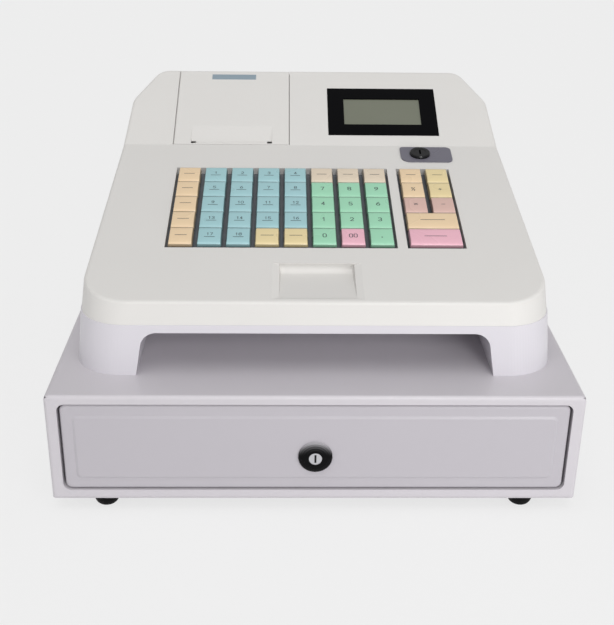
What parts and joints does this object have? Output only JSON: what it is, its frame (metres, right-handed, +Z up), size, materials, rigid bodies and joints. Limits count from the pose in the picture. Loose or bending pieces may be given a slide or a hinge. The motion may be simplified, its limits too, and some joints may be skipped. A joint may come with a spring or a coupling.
{
  "type": "cash register",
  "caption": "Electronic ticket register with keypad, display and roll printer on a steel cash drawer that slides open on telescopic rails.",
  "frame": {"origin": "on the floor, under the middle of the whole object", "axes": "X to the right of the person at the keys, Y from the drawer front to the rear, Z up"},
  "size_m": [0.41, 0.419, 0.2661],
  "materials": {
    "cabinet_paint": "fine satin powder coat",
    "zinc_steel": "zinc plated",
    "chrome": "polished",
    "black_rubber": "matt",
    "black_plastic": "fine texture",
    "gloss_black": "polished",
    "case_plastic": "fine spark texture",
    "lcd": "glossy",
    "tinted_window": "polished",
    "switch_grey": "semi-gloss",
    "board_green": "lacquered",
    "silicone": "translucent matt",
    "nylon": "smooth",
    "paper": "thermal paper",
    "key_peach": "semi-gloss",
    "key_blue": "semi-gloss",
    "key_green": "semi-gloss",
    "key_pink": "semi-gloss"
  },
  "bodies": {
    "register": {"cabinet_shell": "cabinet_paint", "cabinet_base": "cabinet_paint", "feet": "black_rubber", "foot_screws": "zinc_steel", "rail_brackets": "zinc_steel", "rails_outer": "zinc_steel", "latch_bracket": "zinc_steel", "solenoid": "black_plastic", "eject_spring": "zinc_steel", "lower_case": "case_plastic", "upper_case": "case_plastic", "display_bezel": "gloss_black", "lcd_module": "lcd", "mode_plate": "switch_grey", "mode_barrel": "gloss_black", "key_plate": "black_plastic", "dome_mat": "silicone", "key_board": "board_green", "main_board": "board_green", "port_panel": "zinc_steel", "customer_window": "tinted_window", "printer_chassis": "zinc_steel", "print_head": "black_plastic", "tear_bar": "zinc_steel", "printer_motor": "zinc_steel"},
    "slide_middle": {"rails_middle": "zinc_steel"},
    "drawer": {"rails_inner": "zinc_steel", "drawer_tray": "zinc_steel", "drawer_front": "cabinet_paint", "lock_housing": "gloss_black", "lock_nut": "zinc_steel", "till_tray": "black_plastic", "coin_tray": "black_plastic", "clip_rod": "zinc_steel"},
    "drawer_key": {"lock_plug": "chrome", "lock_cam": "zinc_steel"},
    "clip_1": {"bill_clip_1": "zinc_steel"},
    "clip_2": {"bill_clip_2": "zinc_steel"},
    "clip_3": {"bill_clip_3": "zinc_steel"},
    "clip_4": {"bill_clip_4": "zinc_steel"},
    "latch": {"latch_hook": "zinc_steel"},
    "plunger": {"solenoid_plunger": "zinc_steel"},
    "mode_key": {"mode_rotor": "chrome"},
    "lid": {"printer_lid": "case_plastic"},
    "roll": {"paper_roll": "paper"},
    "platen": {"platen_roller": "black_rubber", "platen_gear": "nylon"},
    "motor": {"motor_gear": "nylon"},
    "switch": {"power_switch": "black_plastic"},
    "column_1": {"key_column_1": "key_peach"},
    "column_2": {"key_column_2": "key_blue"},
    "column_3": {"key_column_3": "key_blue"},
    "column_4": {"key_column_4": "key_blue"},
    "column_5": {"key_column_5": "key_blue"},
    "column_6": {"key_column_6": "key_green"},
    "column_7": {"key_column_7": "key_green"},
    "column_8": {"key_column_8": "key_green"},
    "right_keys": {"keys_right": "key_peach"},
    "upper_wide_key": {"key_wide_upper": "key_peach"},
    "lower_wide_key": {"key_wide_lower": "key_pink"}
  },
  "joints": [
    {"name": "drawer_slide", "type": "slide", "parent": "register", "child": "drawer", "axis": [0, -1, 0], "range_m": [0, 0.3]},
    {"name": "middle_slide", "type": "slide", "parent": "register", "child": "slide_middle", "axis": [0, -1, 0], "range_m": [0, 0.15]},
    {"name": "drawer_lock", "type": "hinge", "parent": "drawer", "child": "drawer_key", "pos_m": [0, -0.2055, 0.0502], "axis": [0, -1, 0], "range_deg": [0, 90]},
    {"name": "bill_clip_lift_1", "type": "hinge", "parent": "drawer", "child": "clip_1", "pos_m": [-0.135, 0.1511, 0.0717], "axis": [-1, 0, 0], "range_deg": [0, 44], "stiffness_Nm_per_rad": 0.05, "springref_deg": -28.65},
    {"name": "bill_clip_lift_2", "type": "hinge", "parent": "drawer", "child": "clip_2", "pos_m": [-0.045, 0.1511, 0.0717], "axis": [-1, 0, 0], "range_deg": [0, 44], "stiffness_Nm_per_rad": 0.05, "springref_deg": -28.65},
    {"name": "bill_clip_lift_3", "type": "hinge", "parent": "drawer", "child": "clip_3", "pos_m": [0.045, 0.1511, 0.0717], "axis": [-1, 0, 0], "range_deg": [0, 44], "stiffness_Nm_per_rad": 0.05, "springref_deg": -28.65},
    {"name": "bill_clip_lift_4", "type": "hinge", "parent": "drawer", "child": "clip_4", "pos_m": [0.135, 0.1511, 0.0717], "axis": [-1, 0, 0], "range_deg": [0, 44], "stiffness_Nm_per_rad": 0.05, "springref_deg": -28.65},
    {"name": "latch_turn", "type": "hinge", "parent": "register", "child": "latch", "pos_m": [0, 0.1845, 0.0582], "axis": [1, 0, 0], "range_deg": [0, 15]},
    {"name": "plunger_slide", "type": "slide", "parent": "register", "child": "plunger", "axis": [0, 0, 1], "range_m": [0, 0.00225]},
    {"name": "mode_turn", "type": "hinge", "parent": "register", "child": "mode_key", "pos_m": [0.101, 0.05583, 0.21406], "axis": [0, -0.225, 0.9744], "range_deg": [-90, 90]},
    {"name": "lid_hinge", "type": "hinge", "parent": "register", "child": "lid", "pos_m": [-0.075, 0.17198, 0.26253], "axis": [-1, 0, 0], "range_deg": [0, 85]},
    {"name": "platen_spin", "type": "hinge", "parent": "register", "child": "platen", "pos_m": [-0.075, 0.08597, 0.20802], "axis": [1, 0, 0], "continuous": true},
    {"name": "motor_spin", "type": "hinge", "parent": "register", "child": "motor", "pos_m": [-0.075, 0.07998, 0.19694], "axis": [1, 0, 0], "continuous": true},
    {"name": "roll_spin", "type": "hinge", "parent": "register", "child": "roll", "pos_m": [-0.075, 0.12598, 0.19602], "axis": [1, 0, 0], "continuous": true},
    {"name": "switch_rock", "type": "hinge", "parent": "register", "child": "switch", "pos_m": [0.098, 0.17696, 0.12483], "axis": [1, 0, 0], "range_deg": [0, 12]},
    {"name": "press_column_1", "type": "slide", "parent": "register", "child": "column_1", "axis": [0, 0.225, -0.9744], "range_m": [0, 0.0028], "stiffness_N_per_m": 350, "springref_m": -0.005},
    {"name": "press_column_2", "type": "slide", "parent": "register", "child": "column_2", "axis": [0, 0.225, -0.9744], "range_m": [0, 0.0028], "stiffness_N_per_m": 350, "springref_m": -0.005},
    {"name": "press_column_3", "type": "slide", "parent": "register", "child": "column_3", "axis": [0, 0.225, -0.9744], "range_m": [0, 0.0028], "stiffness_N_per_m": 350, "springref_m": -0.005},
    {"name": "press_column_4", "type": "slide", "parent": "register", "child": "column_4", "axis": [0, 0.225, -0.9744], "range_m": [0, 0.0028], "stiffness_N_per_m": 350, "springref_m": -0.005},
    {"name": "press_column_5", "type": "slide", "parent": "register", "child": "column_5", "axis": [0, 0.225, -0.9744], "range_m": [0, 0.0028], "stiffness_N_per_m": 350, "springref_m": -0.005},
    {"name": "press_column_6", "type": "slide", "parent": "register", "child": "column_6", "axis": [0, 0.225, -0.9744], "range_m": [0, 0.0028], "stiffness_N_per_m": 350, "springref_m": -0.005},
    {"name": "press_column_7", "type": "slide", "parent": "register", "child": "column_7", "axis": [0, 0.225, -0.9744], "range_m": [0, 0.0028], "stiffness_N_per_m": 350, "springref_m": -0.005},
    {"name": "press_column_8", "type": "slide", "parent": "register", "child": "column_8", "axis": [0, 0.225, -0.9744], "range_m": [0, 0.0028], "stiffness_N_per_m": 350, "springref_m": -0.005},
    {"name": "press_right_keys", "type": "slide", "parent": "register", "child": "right_keys", "axis": [0, 0.225, -0.9744], "range_m": [0, 0.0028], "stiffness_N_per_m": 350, "springref_m": -0.005},
    {"name": "press_upper_wide", "type": "slide", "parent": "register", "child": "upper_wide_key", "axis": [0, 0.225, -0.9744], "range_m": [0, 0.0028], "stiffness_N_per_m": 350, "springref_m": -0.005},
    {"name": "press_lower_wide", "type": "slide", "parent": "register", "child": "lower_wide_key", "axis": [0, 0.225, -0.9744], "range_m": [0, 0.0028], "stiffness_N_per_m": 350, "springref_m": -0.005}
  ],
  "couplings": [
    {"joint": "middle_slide", "follows": "drawer_slide", "ratio": 0.5},
    {"joint": "latch_turn", "follows": "plunger_slide", "rad_per_m": 108},
    {"joint": "motor_spin", "follows": "platen_spin", "ratio": -2.5}
  ]
}
